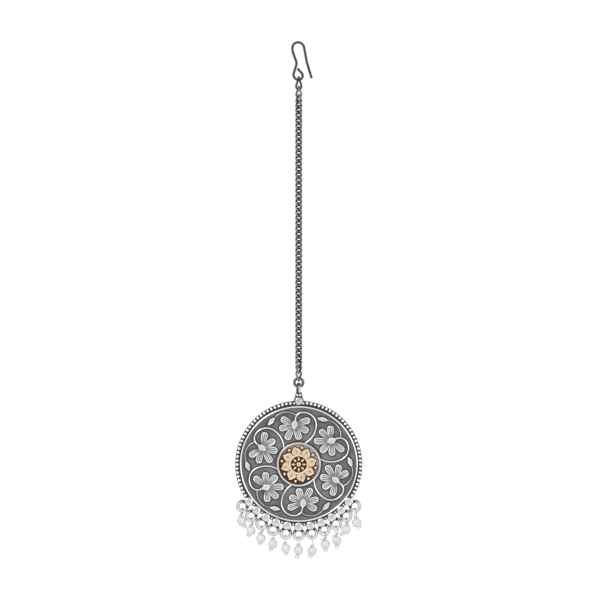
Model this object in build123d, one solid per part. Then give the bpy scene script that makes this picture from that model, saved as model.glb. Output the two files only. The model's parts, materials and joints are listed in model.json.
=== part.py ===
from build123d import *
import math
import os

# A maang tikka, the jewel that hangs from the hair parting onto the forehead, at its real size.
# It is built as it hangs: the front of the disc faces -Y, +Z is up, and the origin is the inside top
# of the hook's bend, where the hair or a pin carries the whole jewel. All sizes are in millimetres.

# ---------------------------------------------------------------- driving dimensions

running_gap = 0.1           # clear space between two links that hang in each other
narrow_gap = 0.17           # the same where two narrow bends would wedge before their wires meet
seat_gap = 0.05             # clear space where a stone or a setting sits still

hook_wire = 0.68
hook_eye_z = -10.1          # lowest point of the eye's centre line

link_twist = 0.4            # how far a link's sides lean out of its own plane
end_link_wire = 0.6         # the stout link in the hook's eye
end_link_width = 2.28
end_link_height = 4.05
end_link_turn = -50.0

curb_wire = 0.58            # the chain proper: its first link, and a tube for the curb links
first_link_width = 2.1
first_link_height = 3.5
first_link_turn = -50.0
last_link_wire = 0.54
last_link_width = 2.2
last_link_height = 3.3
last_link_turn = 55.0
chain_width = 1.96

jump_ring_wire = 0.76
jump_ring_width = 3.17
jump_ring_z = -94.9

bail_strip_width = 0.7
bail_strip_thick = 0.3
bail_eye_height = 1.0       # straight part of the bail's eye, below the jump ring's wire
bail_foot_top = 0.55        # half widths of the flared foot
bail_foot_bottom = 1.2
bail_foot_lap = 0.3         # how far the foot reaches down over the plate's edge
bail_granule_radius = 0.38
bail_granule_drop = 0.55    # from the foot's top to the granules' centres

disc_z = -117.8
plate_radius = 17.25
plate_thick = 0.9
plate_back_y = 0.62         # the flat back; set so that the pendant hangs plumb
rim_wire_radius = 0.24
rim_wire_circle = 16.3
beaded_rim_radius = 0.5
beaded_rim_circle = 17.3
beaded_rim_start = -31.0    # the beaded rim runs from here over the top, and the fringe takes the rest
beaded_rim_sweep = 242.0

bezel_inner_radius = 5.68
bezel_outer_radius = 6.24
bezel_height = 0.65

rosette_radius = 5.55
rosette_base_thick = 0.5
rosette_petal_thick = 0.3
rosette_petal_count = 8
rosette_petal_turn = 13.0
rosette_petal_reach = 3.9   # centre of a petal's round part, and its radius
rosette_petal_radius = 1.15
rosette_petal_margin = 0.35     # from a petal's point to the base's edge
rosette_petal_point = 0.1       # radius that blunts the point
rosette_ring_inner = 2.3
rosette_ring_outer = 2.85
rosette_boss_radius = 0.65

relief_height = 0.35
flower_count = 6
flower_centre = (-1.18, 11.26)
flower_oval_length = 2.66
flower_oval_width = 1.62
flower_oval_turn = 82.0
petal_root_radius = 0.35
vine_width = 0.45
branch_width = 0.36

fringe_count = 11
fringe_pitch = 10.65        # degrees between two drops
cup_radius = 1.13
cup_circle = 17.5
top_cup_radius = 1.1
top_cup_circle = 17.7
spacer_radius = 0.3
spacer_circle = 16.85
flat_ring_circle = 19.6
flat_ring_width = 3.4
flat_ring_wire = 0.8

pin_wire = 0.3
pin_loop_width = 2.2
pin_loop_narrowing = 0.25   # share by which the loop's lower half draws in towards the wraps
pin_collar_radius = 0.34
pin_collar_height = 0.45
pin_ball_radius = 0.6
pearl_radius = 1.3
pearl_bore_radius = 0.22
ball_seat_depth = 0.28      # how far the pin's ball goes up into the pearl's countersink

# The six petals of a flower: direction from the flower's oval, reach to the centre of the round tip,
# and the radius of that tip.
petals = [
    (20.0, 3.72, 0.90),
    (-30.0, 3.56, 0.92),
    (-71.0, 3.56, 0.95),
    (-116.0, 3.94, 0.95),
    (-161.0, 3.59, 0.90),
    (157.0, 3.39, 0.92),
]

# The vine leaves the bezel and curls round a flower to its oval; the branch leaves the vine for the leaf.
# Each row is one arc: start, middle and end, seen from the front about the disc's centre.
vine_arcs = [
    ((1.60, 5.80), (3.70, 7.65), (4.87, 11.20)),
    ((4.87, 11.20), (4.00, 13.50), (1.40, 14.73)),
    ((1.40, 14.73), (-0.30, 14.17), (-0.98, 12.55)),
]
branch_arcs = [
    ((-0.90, 14.00), (-3.60, 14.80), (-6.60, 13.35)),
]
leaf_tips = ((-6.66, 13.24), (-8.62, 10.92))
leaf_half_width = 0.67

# The drops, from left to right. turn is how far the pin's loop is turned from the disc's plane, hang and
# side say where the pearl's centre lies below its ring's centre, and lean tilts the pin in the pearl.
drops = [
    {"turn": 70.0, "hang": 4.20, "side": -0.30, "lean": 8.0},
    {"turn": 65.0, "hang": 4.20, "side": -0.15, "lean": -9.0},
    {"turn": 60.0, "hang": 4.15, "side": -0.20, "lean": -4.0},
    {"turn": 90.0, "hang": 4.10, "side": -0.15, "lean": -8.0},
    {"turn": 90.0, "hang": 4.35, "side": 0.00, "lean": 3.0},
    {"turn": 90.0, "hang": 4.50, "side": -0.10, "lean": -6.0},
    {"turn": 90.0, "hang": 5.10, "side": 0.10, "lean": -8.0},
    {"turn": 65.0, "hang": 4.20, "side": 0.35, "lean": 3.0},
    {"turn": 65.0, "hang": 4.80, "side": 0.30, "lean": 2.0},
    {"turn": 65.0, "hang": 3.90, "side": -0.05, "lean": -9.0},
    {"turn": 65.0, "hang": 4.70, "side": 0.50, "lean": 9.0},
]

# ---------------------------------------------------------------- places worked out from them

hook_radius = hook_wire / 2
hook_crown_z = hook_radius  # centre line of the bend's top: the origin lies on the wire's underside

# The hook's wire: each corner of its route in X and Z, and the radius that rounds it.
hook_start = (3.62, -9.7)
hook_corners = [
    (2.28, -5.3, 4.0),
    (1.22, hook_crown_z, 1.7),
    (-1.97, hook_crown_z, 1.55),
    (-1.66, -2.4, 4.5),
    (-0.52, -5.5, 2.0),
    (-1.95, hook_eye_z, 1.35),
    (1.27, hook_eye_z, 1.08),
    (1.03, -8.5, 1.0),
]
hook_end = (-0.34, -6.97)

end_link_top = hook_eye_z + hook_radius + running_gap + end_link_wire
end_link_bottom = end_link_top - end_link_height
first_link_top = end_link_bottom + end_link_wire + narrow_gap + curb_wire
first_link_bottom = first_link_top - first_link_height

jump_ring_circle = (jump_ring_width - jump_ring_wire) / 2
last_link_bottom = jump_ring_z + jump_ring_circle - jump_ring_wire / 2 - running_gap - last_link_wire
last_link_top = last_link_bottom + last_link_height

# The curb links start inside the first link's lower bend and end inside the last link's upper bend.
chain_tube_top = first_link_bottom + 2 * curb_wire
chain_tube_bottom = last_link_top - last_link_wire - curb_wire

bail_pivot_z = jump_ring_z - jump_ring_circle
bail_eye_radius = jump_ring_wire / 2 + narrow_gap
# The foot starts half way through the strip, so that its top doesn't touch the eye's hole.
bail_foot_z = bail_pivot_z - bail_eye_height - bail_eye_radius - bail_strip_thick / 2
plate_front_y = plate_back_y - plate_thick
field_centre = (0, plate_front_y, disc_z)
fringe_first_angle = 270.0 - fringe_pitch * (fringe_count - 1) / 2

# ---------------------------------------------------------------- helpers


def front_plane(y):
    """A plane that faces the viewer at depth y: its x is +X, its y is +Z, centred on the disc."""
    return Plane(origin=(0, y, disc_z), x_dir=(1, 0, 0), z_dir=(0, -1, 0))


def on_circle(radius, angle, y):
    """A point at this radius and angle about the disc's centre, seen from the front."""
    turn = math.radians(angle)
    return (radius * math.cos(turn), y, disc_z + radius * math.sin(turn))


def ball(radius, centre):
    return Pos(*centre) * Sphere(radius)


def ring_facing_front(circle, wire_radius, centre, seam_angle=0.0):
    """A round-wire ring that lies in an XZ plane, with its seam at this angle."""
    turn = math.radians(seam_angle)
    seam_side = (math.cos(turn), 0, math.sin(turn))
    return Plane(origin=centre, x_dir=seam_side, z_dir=(0, -1, 0)) * Torus(circle, wire_radius)


def wire_along(path, wire_radius):
    """Round wire along an open path."""
    section = Plane(origin=path @ 0, z_dir=path % 0) * Circle(wire_radius)
    return sweep(section, path=path)


def closed_wire(corners, wire_radius, round_share=0.45):
    """Round wire round a closed route of corners, each eased by an arc that touches both its runs."""
    arcs_and_runs = []
    arc_ends = []
    for index, corner in enumerate(corners):
        before = corners[index - 1] - corner
        after = corners[(index + 1) % len(corners)] - corner
        cut = round_share * min(before.length, after.length)
        arc_ends.append((corner + before.normalized() * cut, corner + after.normalized() * cut))
    for index, corner in enumerate(corners):
        arc_start, arc_end = arc_ends[index]
        arriving = corner - corners[index - 1]
        arcs_and_runs.append(Edge.make_tangent_arc(arc_start, arriving, arc_end))
        arcs_and_runs.append(Edge.make_line(arc_end, arc_ends[(index + 1) % len(corners)][0]))
    half = len(arcs_and_runs) // 2
    one_side = wire_along(Wire(arcs_and_runs[:half]), wire_radius)
    other_side = wire_along(Wire(arcs_and_runs[half:]), wire_radius)
    return one_side + other_side


def twisted_link(width, height, wire, twist, turn, top_z, corner_count=20):
    """A curb link: an oval of wire whose two ends are twisted against each other about its height."""
    half_width = (width - wire) / 2
    half_height = (height - wire) / 2
    middle_z = top_z - height / 2
    about_z = math.radians(turn)
    corners = []
    for index in range(corner_count):
        step = 2 * math.pi * index / corner_count
        flat = half_width * math.cos(step)
        lean = -twist * math.sin(2 * step)
        x = flat * math.cos(about_z) - lean * math.sin(about_z)
        y = flat * math.sin(about_z) + lean * math.cos(about_z)
        corners.append(Vector(x, y, middle_z + half_height * math.sin(step)))
    return closed_wire(corners, wire / 2)


# ---------------------------------------------------------------- hook, links and chain


def make_hook():
    corners = [(x, 0, z) for x, z, _ in hook_corners]
    radii = [radius for _, _, radius in hook_corners]
    start = (hook_start[0], 0, hook_start[1])
    end = (hook_end[0], 0, hook_end[1])
    path = FilletPolyline(start, *corners, end, radius=radii)
    wire = wire_along(path.wire(), hook_radius)
    print("hook wire", round(path.length, 2), "long, volume over section times length",
          round(wire.volume / (math.pi * hook_radius ** 2 * path.length), 4))
    return wire


def make_end_link():
    return twisted_link(end_link_width, end_link_height, end_link_wire, link_twist, end_link_turn,
                        end_link_top)


def make_chain():
    """The fine chain as one straight tube, with its open first and last links."""
    tube_length = chain_tube_top - chain_tube_bottom
    tube_middle = (chain_tube_top + chain_tube_bottom) / 2
    tube = Pos(0, 0, tube_middle) * Cylinder(chain_width / 2, tube_length)
    first = twisted_link(first_link_width, first_link_height, curb_wire, link_twist,
                         first_link_turn, first_link_top)
    last = twisted_link(last_link_width, last_link_height, last_link_wire, link_twist,
                        last_link_turn, last_link_top)
    print("chain tube", round(tube_length, 2), "long, volume over section times length",
          round(tube.volume / (math.pi * (chain_width / 2) ** 2 * tube_length), 4))
    return tube + first + last


def make_jump_ring():
    return ring_facing_front(jump_ring_circle, jump_ring_wire / 2, (0, 0, jump_ring_z))


# ---------------------------------------------------------------- pendant


def make_bail():
    """The eye round the jump ring, and the flared foot that joins it to the disc's edge."""
    side = Plane(origin=(0, 0, bail_pivot_z), x_dir=(0, 1, 0), z_dir=(1, 0, 0))
    outer_radius = bail_eye_radius + bail_strip_thick
    lower = (0, -bail_eye_height)
    eye_outer = make_hull(Circle(outer_radius).edges() + (Pos(*lower) * Circle(outer_radius)).edges())
    eye_hole = make_hull(Circle(bail_eye_radius).edges() + (Pos(*lower) * Circle(bail_eye_radius)).edges())
    eye = extrude(side * (eye_outer - eye_hole), bail_strip_width / 2, both=True)
    foot_top = bail_foot_z - disc_z
    foot_bottom = plate_radius - bail_foot_lap
    foot_outline = Polyline(
        (-bail_foot_top, foot_top),
        (bail_foot_top, foot_top),
        (bail_foot_bottom, foot_bottom),
        (-bail_foot_bottom, foot_bottom),
        close=True,
    )
    foot = extrude(front_plane(plate_back_y) * make_face(foot_outline), plate_thick)
    granule_z = bail_foot_z - bail_granule_drop
    granules = [
        ball(bail_granule_radius, (side_x, plate_front_y, granule_z))
        for side_x in (-bail_granule_radius, bail_granule_radius)
    ]
    return [eye, foot] + granules


def make_cup(radius, centre, seam_angle):
    """A domed cup whose back is ground flush with the plate's back."""
    turn = math.radians(seam_angle)
    seam_side = (math.cos(turn), 0, math.sin(turn))
    dome = Plane(origin=centre, x_dir=seam_side, z_dir=(0, -1, 0)) * Sphere(radius)
    beyond = 2 * radius     # half the side of a block that holds all that lies behind the plate's back
    behind = Pos(centre[0], plate_back_y + beyond, centre[2]) * Box(2 * beyond, 2 * beyond, 2 * beyond)
    return dome - behind


def petal_outline(direction, reach, tip_radius):
    turn = math.radians(direction)
    centre = Vector(*flower_centre)
    tip = centre + Vector(math.cos(turn), math.sin(turn)) * reach
    root = centre + Vector(math.cos(turn), math.sin(turn)) * (flower_oval_width / 2)
    root_circle = Pos(root.X, root.Y) * Circle(petal_root_radius)
    tip_circle = Pos(tip.X, tip.Y) * Circle(tip_radius)
    return make_hull(root_circle.edges() + tip_circle.edges())


def leaf_outline():
    start = Vector(*leaf_tips[0])
    end = Vector(*leaf_tips[1])
    along = (end - start).normalized()
    across = Vector(-along.Y, along.X) * leaf_half_width
    middle = (start + end) * 0.5
    edges = [ThreePointArc(start, middle + across, end), ThreePointArc(end, middle - across, start)]
    return make_face(edges)


def stem_outline(arcs, width):
    stem = Sketch()
    for start, middle, end in arcs:
        stem += trace(ThreePointArc(start, middle, end), line_width=width)
    return stem


def make_relief():
    """Flowers, vines and leaves, the same six times round the disc."""
    sector = stem_outline(vine_arcs, vine_width) + stem_outline(branch_arcs, branch_width) + leaf_outline()
    for direction, reach, tip_radius in petals:
        sector += petal_outline(direction, reach, tip_radius)
    oval = Pos(*flower_centre) * Rot(0, 0, flower_oval_turn) * Ellipse(
        flower_oval_length / 2, flower_oval_width / 2)
    sector += oval
    one = extrude(front_plane(plate_front_y + seat_gap) * sector, relief_height + seat_gap)
    about_disc = Pos(0, 0, disc_z)
    return [
        about_disc * Rot(0, 360.0 / flower_count * index, 0) * about_disc.inverse() * one
        for index in range(flower_count)
    ]


def fringe_angles():
    return [fringe_first_angle + fringe_pitch * index for index in range(fringe_count)]


def make_pendant():
    """The soldered silver work: plate, rims, bezel, relief, cups, flat rings and bail."""
    plate = extrude(front_plane(plate_back_y) * Circle(plate_radius), plate_thick)
    rim_wire = ring_facing_front(rim_wire_circle, rim_wire_radius, field_centre)
    bezel_section = Circle(bezel_outer_radius) - Circle(bezel_inner_radius)
    bezel = extrude(front_plane(plate_front_y + seat_gap) * bezel_section, bezel_height + seat_gap)
    rim_arc = front_plane(plate_front_y) * CenterArc((0, 0), beaded_rim_circle, beaded_rim_start,
                                                     beaded_rim_sweep)
    beaded_rim = wire_along(rim_arc.edge(), beaded_rim_radius)
    rim_ends = [
        ball(beaded_rim_radius, on_circle(beaded_rim_circle, angle, plate_front_y))
        for angle in (beaded_rim_start, beaded_rim_start + beaded_rim_sweep)
    ]
    cups = [make_cup(top_cup_radius, on_circle(top_cup_circle, 90, plate_front_y), -90)]
    flat_rings = []
    spacers = []
    for angle in fringe_angles():
        cups.append(make_cup(cup_radius, on_circle(cup_circle, angle, plate_front_y), angle + 180))
        flat_rings.append(ring_facing_front((flat_ring_width - flat_ring_wire) / 2, flat_ring_wire / 2,
                                            on_circle(flat_ring_circle, angle, 0), angle))
    for angle in fringe_angles()[1:]:
        spacers.append(ball(spacer_radius, on_circle(spacer_circle, angle - fringe_pitch / 2, plate_front_y)))
    body = plate.fuse(rim_wire, bezel, beaded_rim, *rim_ends, *cups, *flat_rings, *spacers, *make_bail())
    return body.fuse(*make_relief())


def make_gold_rosette():
    """The gilt flower that the bezel holds: a round base with raised petals, a ring and a boss."""
    base_back_y = plate_front_y - seat_gap
    base_front_y = base_back_y - rosette_base_thick
    base = extrude(front_plane(base_back_y) * Circle(rosette_radius), rosette_base_thick)
    raised = Circle(rosette_ring_outer) - Circle(rosette_ring_inner) + Circle(rosette_boss_radius)
    for index in range(rosette_petal_count):
        turn = math.radians(rosette_petal_turn + 360.0 / rosette_petal_count * index)
        outward = Vector(math.cos(turn), math.sin(turn))
        middle = outward * rosette_petal_reach
        tip = outward * (rosette_radius - rosette_petal_margin)
        round_part = Pos(middle.X, middle.Y) * Circle(rosette_petal_radius)
        point_part = Pos(tip.X, tip.Y) * Circle(rosette_petal_point)
        raised += make_hull(round_part.edges() + point_part.edges())
    petals_and_ring = extrude(front_plane(base_front_y + seat_gap) * raised, rosette_petal_thick + seat_gap)
    return base.fuse(petals_and_ring)


# ---------------------------------------------------------------- drops


def drop_frame(drop, angle):
    """Places along one drop: the ring's centre, the pearl's centre and the pin's direction."""
    ring_x, _, ring_z = on_circle(flat_ring_circle, angle, 0)
    lean = math.radians(drop["lean"])
    downward = Vector(math.sin(lean), 0, -math.cos(lean))
    pearl = Vector(ring_x + drop["side"], 0, ring_z - drop["hang"])
    return Vector(ring_x, 0, ring_z), pearl, downward


def ball_distance():
    """From the pearl's centre to the centre of the ball that it rests on."""
    return pearl_radius + pin_ball_radius - ball_seat_depth


def make_drop_pin(drop, angle):
    """A ball-headed pin: its loop goes through the flat ring, then it is wrapped, and carries the pearl."""
    ring, pearl, downward = drop_frame(drop, angle)
    collar_bottom = pearl - downward * (pearl_radius + seat_gap)
    collar_top = collar_bottom - downward * pin_collar_height
    loop_top = ring + Vector(0, 0, flat_ring_wire - flat_ring_width / 2 + running_gap + pin_wire / 2)
    loop_bottom = collar_top + downward * (pin_wire / 2)
    upward = (loop_top - loop_bottom).normalized()
    turn = math.radians(drop["turn"])
    level = Vector(math.cos(turn), math.sin(turn), 0)
    across = (level - upward * level.dot(upward)).normalized()
    half_width = (pin_loop_width - pin_wire) / 2
    middle = (loop_top + loop_bottom) * 0.5
    half_height = (loop_top - loop_bottom).length / 2
    corner_count = 12
    corners = []
    for index in range(corner_count):
        step = 2 * math.pi * index / corner_count
        narrowed = 1.0 + pin_loop_narrowing * min(math.sin(step), 0)
        corners.append(middle + across * (half_width * narrowed * math.cos(step))
                       + upward * (half_height * math.sin(step)))
    loop = closed_wire(corners, pin_wire / 2)
    collar_plane = Plane(origin=collar_top, z_dir=downward)
    collar = extrude(collar_plane * Circle(pin_collar_radius), pin_collar_height)
    pin = extrude(collar_plane * Circle(pin_wire / 2),
                  (pearl + downward * ball_distance() - collar_top).length)
    head = ball(pin_ball_radius, pearl + downward * ball_distance())
    return loop.fuse(collar, pin, head)


def make_drop_bead(drop, angle):
    """A drilled pearl, countersunk below for the pin's ball."""
    _, pearl, downward = drop_frame(drop, angle)
    bore_plane = Plane(origin=pearl, z_dir=downward)
    through = 2 * pearl_radius      # half the bore's length: it runs out of the pearl at both ends
    bore = extrude(bore_plane * Circle(pearl_bore_radius), through, both=True)
    countersink = ball(pin_ball_radius + seat_gap, pearl + downward * ball_distance())
    return ball(pearl_radius, pearl) - bore - countersink


# ---------------------------------------------------------------- write one file for each piece


def write(name, shape):
    solids = shape.solids()
    if len(solids) != 1:
        print("PROBLEM", name, "is", len(solids), "solids")
    export_step(solids[0], "parts/" + name + ".step")
    print(name, "volume", round(solids[0].volume, 2), "valid", solids[0].is_valid)


os.makedirs("parts", exist_ok=True)
write("hook", make_hook())
write("end_link", make_end_link())
write("chain", make_chain())
write("jump_ring", make_jump_ring())
write("pendant", make_pendant())
write("gold_rosette", make_gold_rosette())
for number, (drop, angle) in enumerate(zip(drops, fringe_angles()), start=1):
    write("drop_pin_%02d" % number, make_drop_pin(drop, angle))
    write("drop_bead_%02d" % number, make_drop_bead(drop, angle))
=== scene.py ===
# %% [markdown]
# # A maang tikka in silver, gold and pearl
# A maang tikka hangs from the hair parting onto the forehead. This one is a wire hook, a fine curb chain, and a
# silver disc with six flowers, a gilt rosette and a fringe of eleven pearls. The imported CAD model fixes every
# place and joint, and this lesson builds what the eye sees round that frame. Sizes are in millimetres.

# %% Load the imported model
import json
import math
import random

import bmesh
import bpy
import numpy as np
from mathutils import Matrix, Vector
from mathutils.kdtree import KDTree


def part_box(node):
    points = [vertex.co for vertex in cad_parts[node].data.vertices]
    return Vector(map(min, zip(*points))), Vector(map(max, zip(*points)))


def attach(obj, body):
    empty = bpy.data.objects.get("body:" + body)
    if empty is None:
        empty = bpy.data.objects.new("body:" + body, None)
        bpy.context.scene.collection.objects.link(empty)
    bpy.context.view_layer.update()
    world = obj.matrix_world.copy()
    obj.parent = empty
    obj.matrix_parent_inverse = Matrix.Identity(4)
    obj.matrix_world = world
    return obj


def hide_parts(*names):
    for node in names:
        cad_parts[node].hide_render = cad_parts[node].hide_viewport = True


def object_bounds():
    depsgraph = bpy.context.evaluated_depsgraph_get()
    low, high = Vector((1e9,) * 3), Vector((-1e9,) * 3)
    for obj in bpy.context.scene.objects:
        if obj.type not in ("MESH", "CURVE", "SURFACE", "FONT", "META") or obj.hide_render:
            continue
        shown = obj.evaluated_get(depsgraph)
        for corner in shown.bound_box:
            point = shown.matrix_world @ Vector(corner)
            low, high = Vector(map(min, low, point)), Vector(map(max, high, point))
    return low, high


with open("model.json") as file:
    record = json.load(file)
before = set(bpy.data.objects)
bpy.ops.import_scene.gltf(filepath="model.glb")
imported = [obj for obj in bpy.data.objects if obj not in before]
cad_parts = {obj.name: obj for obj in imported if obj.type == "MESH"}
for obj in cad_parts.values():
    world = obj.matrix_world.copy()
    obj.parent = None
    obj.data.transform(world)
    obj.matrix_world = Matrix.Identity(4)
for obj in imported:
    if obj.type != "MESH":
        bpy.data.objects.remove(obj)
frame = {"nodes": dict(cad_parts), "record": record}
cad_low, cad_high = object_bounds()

print("CAD box in mm:", [round(c * 1000, 2) for c in (*cad_low, *cad_high)])

# %% [markdown]
# ## Where things are
# The frame gives the places: the gilt rosette's box has the disc's centre and its front face, and the flat back is
# a mount in the record. Everything on the disc is placed by radius and angle about that centre.

# %% Places on the disc
MM = 0.001
SEAT_GAP = 0.05         # the gap in which the rosette sits on the plate


def box_mm(node):
    """A CAD node's lowest and highest corners in millimetres."""
    low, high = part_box(node)
    return np.array(low) / MM, np.array(high) / MM


rosette_low, rosette_high = box_mm("gold_rosette")
disc_z = (rosette_low[2] + rosette_high[2]) / 2
front_y = rosette_high[1] + SEAT_GAP
mounts = {mount["name"]: mount for mount in frame["record"]["mounts"]}
back_y = mounts["back_face"]["pos_m"][1] / MM


def on_disc(a, b, height=0.0):
    """Points at a to the right and b above the disc's centre, this high above its front face."""
    a, b, height = np.broadcast_arrays(np.asarray(a, float), np.asarray(b, float), height)
    return np.stack([a, front_y - height, disc_z + b], -1)


def polar(radius, degrees, height=0.0):
    """Points on the disc by radius and angle, 0 to the right and 90 at the top."""
    turn = np.radians(degrees)
    return on_disc(radius * np.cos(turn), radius * np.sin(turn), height)


print("disc centre z", round(disc_z, 3), "front y", round(front_y, 3), "back y", round(back_y, 3))

# %% [markdown]
# ## Shapes from rows of points
# Nearly all of this jewel is wire, or a small boss raised on a plate. Both are closed outlines in a row, so one
# function skins them all. A shape is its points, its faces, and a polish value for each point: 0 where black
# sulphide stays in a hollow, 1 where the wheel has cut back to bright silver.
# In places the value is also lowered for painted shade, where light would fall less.

# %% Skin rows of points
def skin(rows, polish=1.0, wrap_rows=False):
    """A closed shape from an array of rows x columns x 3 points. Every row is a loop."""
    rows = np.asarray(rows, float)
    count, columns = rows.shape[:2]
    first = np.arange(columns)
    after = np.roll(first, -1)
    faces = []
    for row in range(count if wrap_rows else count - 1):
        here = row * columns
        there = (row + 1) % count * columns
        faces += np.stack([here + first, here + after, there + after, there + first], 1).tolist()
    if not wrap_rows:
        faces.append(first[::-1].tolist())
        faces.append((first + (count - 1) * columns).tolist())
    values = np.broadcast_to(polish, (count, columns)).reshape(-1)
    return rows.reshape(-1, 3), faces, values.copy()


def join(shapes):
    """Several shapes as one."""
    points, faces, polish = [], [], []
    offset = 0
    for shape_points, shape_faces, shape_polish in shapes:
        points.append(shape_points)
        polish.append(shape_polish)
        faces += [[corner + offset for corner in face] for face in shape_faces]
        offset += len(shape_points)
    return np.vstack(points), faces, np.concatenate(polish)


def smooth(value, low, high):
    """0 below low, 1 above high, and an S-curve between them."""
    t = np.clip((np.asarray(value, float) - low) / (high - low), 0, 1)
    return t * t * (3 - 2 * t)


def unit(vector):
    return np.asarray(vector, float) / np.linalg.norm(vector)


def apart(points, place):
    """How far points lie from a place, seen from the front."""
    return np.linalg.norm((points - place)[:, (0, 2)], axis=1)


def from_nearest(shapes, points):
    """How far each point lies from the nearest point of these shapes, seen from the front."""
    tree = KDTree(sum(len(shape[0]) for shape in shapes))
    for index, (x, _, z) in enumerate(np.vstack([shape[0] for shape in shapes])):
        tree.insert((x, 0.0, z), index)
    tree.balance()
    return np.array([tree.find((x, 0.0, z))[2] for x, _, z in points])


# %% [markdown]
# ### Wire
# A drawn wire is a circle carried along a route. It must not spin on the way, so each step only tips the last
# step's side direction to stay square to the wire. Round a closed link a small angle is left over, which the steps
# share.

# %% Wire along a route
END_EASES = np.radians((78, 50, 24))    # where the rounded end's circles lie, from its tip


def wire(route, radius, sides=8, closed=False, polish=1.0):
    """A round wire along rows of points, with rounded ends unless it is closed."""
    route = np.asarray(route, float)
    radii = np.broadcast_to(np.asarray(radius, float), len(route)).copy()
    if not closed:
        start, end = unit(route[0] - route[1]), unit(route[-1] - route[-2])
        head = [route[0] + start * radii[0] * math.sin(ease) for ease in END_EASES]
        tail = [route[-1] + end * radii[-1] * math.sin(ease) for ease in END_EASES[::-1]]
        radii = np.concatenate([radii[0] * np.cos(END_EASES), radii, radii[-1] * np.cos(END_EASES[::-1])])
        route = np.vstack([head, route, tail])
        tangents = np.gradient(route, axis=0)
    else:
        tangents = np.roll(route, -1, 0) - np.roll(route, 1, 0)
    tangents /= np.linalg.norm(tangents, axis=1)[:, None]
    side = np.cross(tangents[0], (0, 1, 0))
    if np.linalg.norm(side) < 0.2:
        side = np.cross(tangents[0], (1, 0, 0))
    across = [unit(side)]
    for tangent in tangents[1:]:
        across.append(unit(across[-1] - tangent * np.dot(across[-1], tangent)))
    across = np.array(across)
    above = np.cross(across, tangents)
    if closed:
        back = unit(across[-1] - tangents[0] * np.dot(across[-1], tangents[0]))
        spare = math.atan2(np.dot(back, above[0]), np.dot(back, across[0]))
        share = -spare * np.arange(len(route))[:, None] / len(route)
        across, above = (across * np.cos(share) + above * np.sin(share),
                         above * np.cos(share) - across * np.sin(share))
    angles = np.arange(sides) * 2 * math.pi / sides
    rows = (route[:, None]
            + radii[:, None, None] * (np.cos(angles)[None, :, None] * across[:, None]
                                      + np.sin(angles)[None, :, None] * above[:, None]))
    return skin(rows, polish, wrap_rows=closed)


# %% [markdown]
# ### Turned and domed shapes
# Rims, settings and cups are turned: a profile of radius and depth, spun about an axis that faces the viewer. A
# grain or a ball has a half circle for its profile.

# %% Turn a profile
def turned(profile, centre=(0.0, 0.0), columns=24, ring=False, polish=1.0):
    """profile is rows of (radius, height above the disc's face); centre is (a, b) on the disc."""
    profile = np.asarray(profile, float)
    a, b = centre
    angles = np.arange(columns) * 2 * math.pi / columns
    rows = on_disc(a + profile[:, :1] * np.cos(angles), b + profile[:, :1] * np.sin(angles), profile[:, 1:])
    values = np.broadcast_to(np.asarray(polish, float).reshape(-1, 1), (len(profile), columns))
    return skin(rows, values, wrap_rows=ring)


def ball(centre, radius, rows=9, columns=14, axis=(0, -1, 0), polish=1.0):
    """A ball at a point in millimetres, with its poles along the axis."""
    axis = unit(axis)
    side = unit(np.cross(axis, (0.3, 0.2, 1.0)))
    other = np.cross(axis, side)
    lean = np.linspace(0.12, math.pi - 0.12, rows)[:, None, None]
    around = (np.arange(columns) * 2 * math.pi / columns)[None, :, None]
    points = (np.asarray(centre, float)
              + radius * (np.sin(lean) * (np.cos(around) * side + np.sin(around) * other)
                          + np.cos(lean) * axis))
    return skin(points, polish)


print("helpers ready: a test ball has", len(ball((0, 0, 0), 1)[1]), "faces")

# %% [markdown]
# ### From a shape to a piece
# A piece is one mesh object that rides on a body of the frame, takes the finish it is given, and stands for the
# CAD nodes it replaces. Faces that look away from the front keep less of their polish: partly wear where a wheel
# or a finger rubs what faces outward, partly painted shade for the dark edge that silver shows.

# %% Make a piece
SHARP_ANGLE = math.radians(40)
made_triangles = {}


def link(name, data):
    """A new object of this data, in the scene."""
    obj = bpy.data.objects.new(name, data)
    bpy.context.scene.collection.objects.link(obj)
    return obj


def piece(name, shapes, material, body="pendant", stands_for=(), rub=(0.0, 0.15, 0.7)):
    """The last argument gives the share of its polish that a face loses where it looks sideways, and how far it has
    to face the front, from 0 to 1, to lose less and then none. That loss is partly wear, partly painted shade at the
    edges."""
    points, faces, polish = join(shapes)
    mesh = bpy.data.meshes.new(name)
    mesh.from_pydata((points * MM).tolist(), [], faces)
    work = bmesh.new()
    work.from_mesh(mesh)
    bmesh.ops.recalc_face_normals(work, faces=work.faces)
    work.to_mesh(mesh)
    work.free()
    mesh.shade_smooth()
    mesh.set_sharp_from_angle(angle=SHARP_ANGLE)
    normals = np.empty(len(points) * 3, np.float32)
    mesh.vertex_normals.foreach_get("vector", normals)
    facing = np.abs(normals.reshape(-1, 3)[:, 1])
    share, low, high = rub
    # painted shade: faces turned sideways lose polish, on top of the wear on the fronts
    polish = polish * (1 - share * (1 - smooth(facing, low, high)))
    attribute = mesh.attributes.new("polish", "FLOAT", "POINT")
    attribute.data.foreach_set("value", polish.astype(np.float32))
    mesh.materials.append(material)
    obj = link(name, mesh)
    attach(obj, body)
    if stands_for:
        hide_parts(*stands_for)
    made_triangles[name] = sum(len(face) - 2 for face in faces)
    print(f"{name}: {made_triangles[name]} triangles")
    return obj


# %% [markdown]
# ## Materials
# A metal's colour is all in its reflection, so each one here is a ramp from tarnish to polish, read at the mesh's
# polish value and broken up by fine noise. Its roughness falls as the polish rises.

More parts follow.
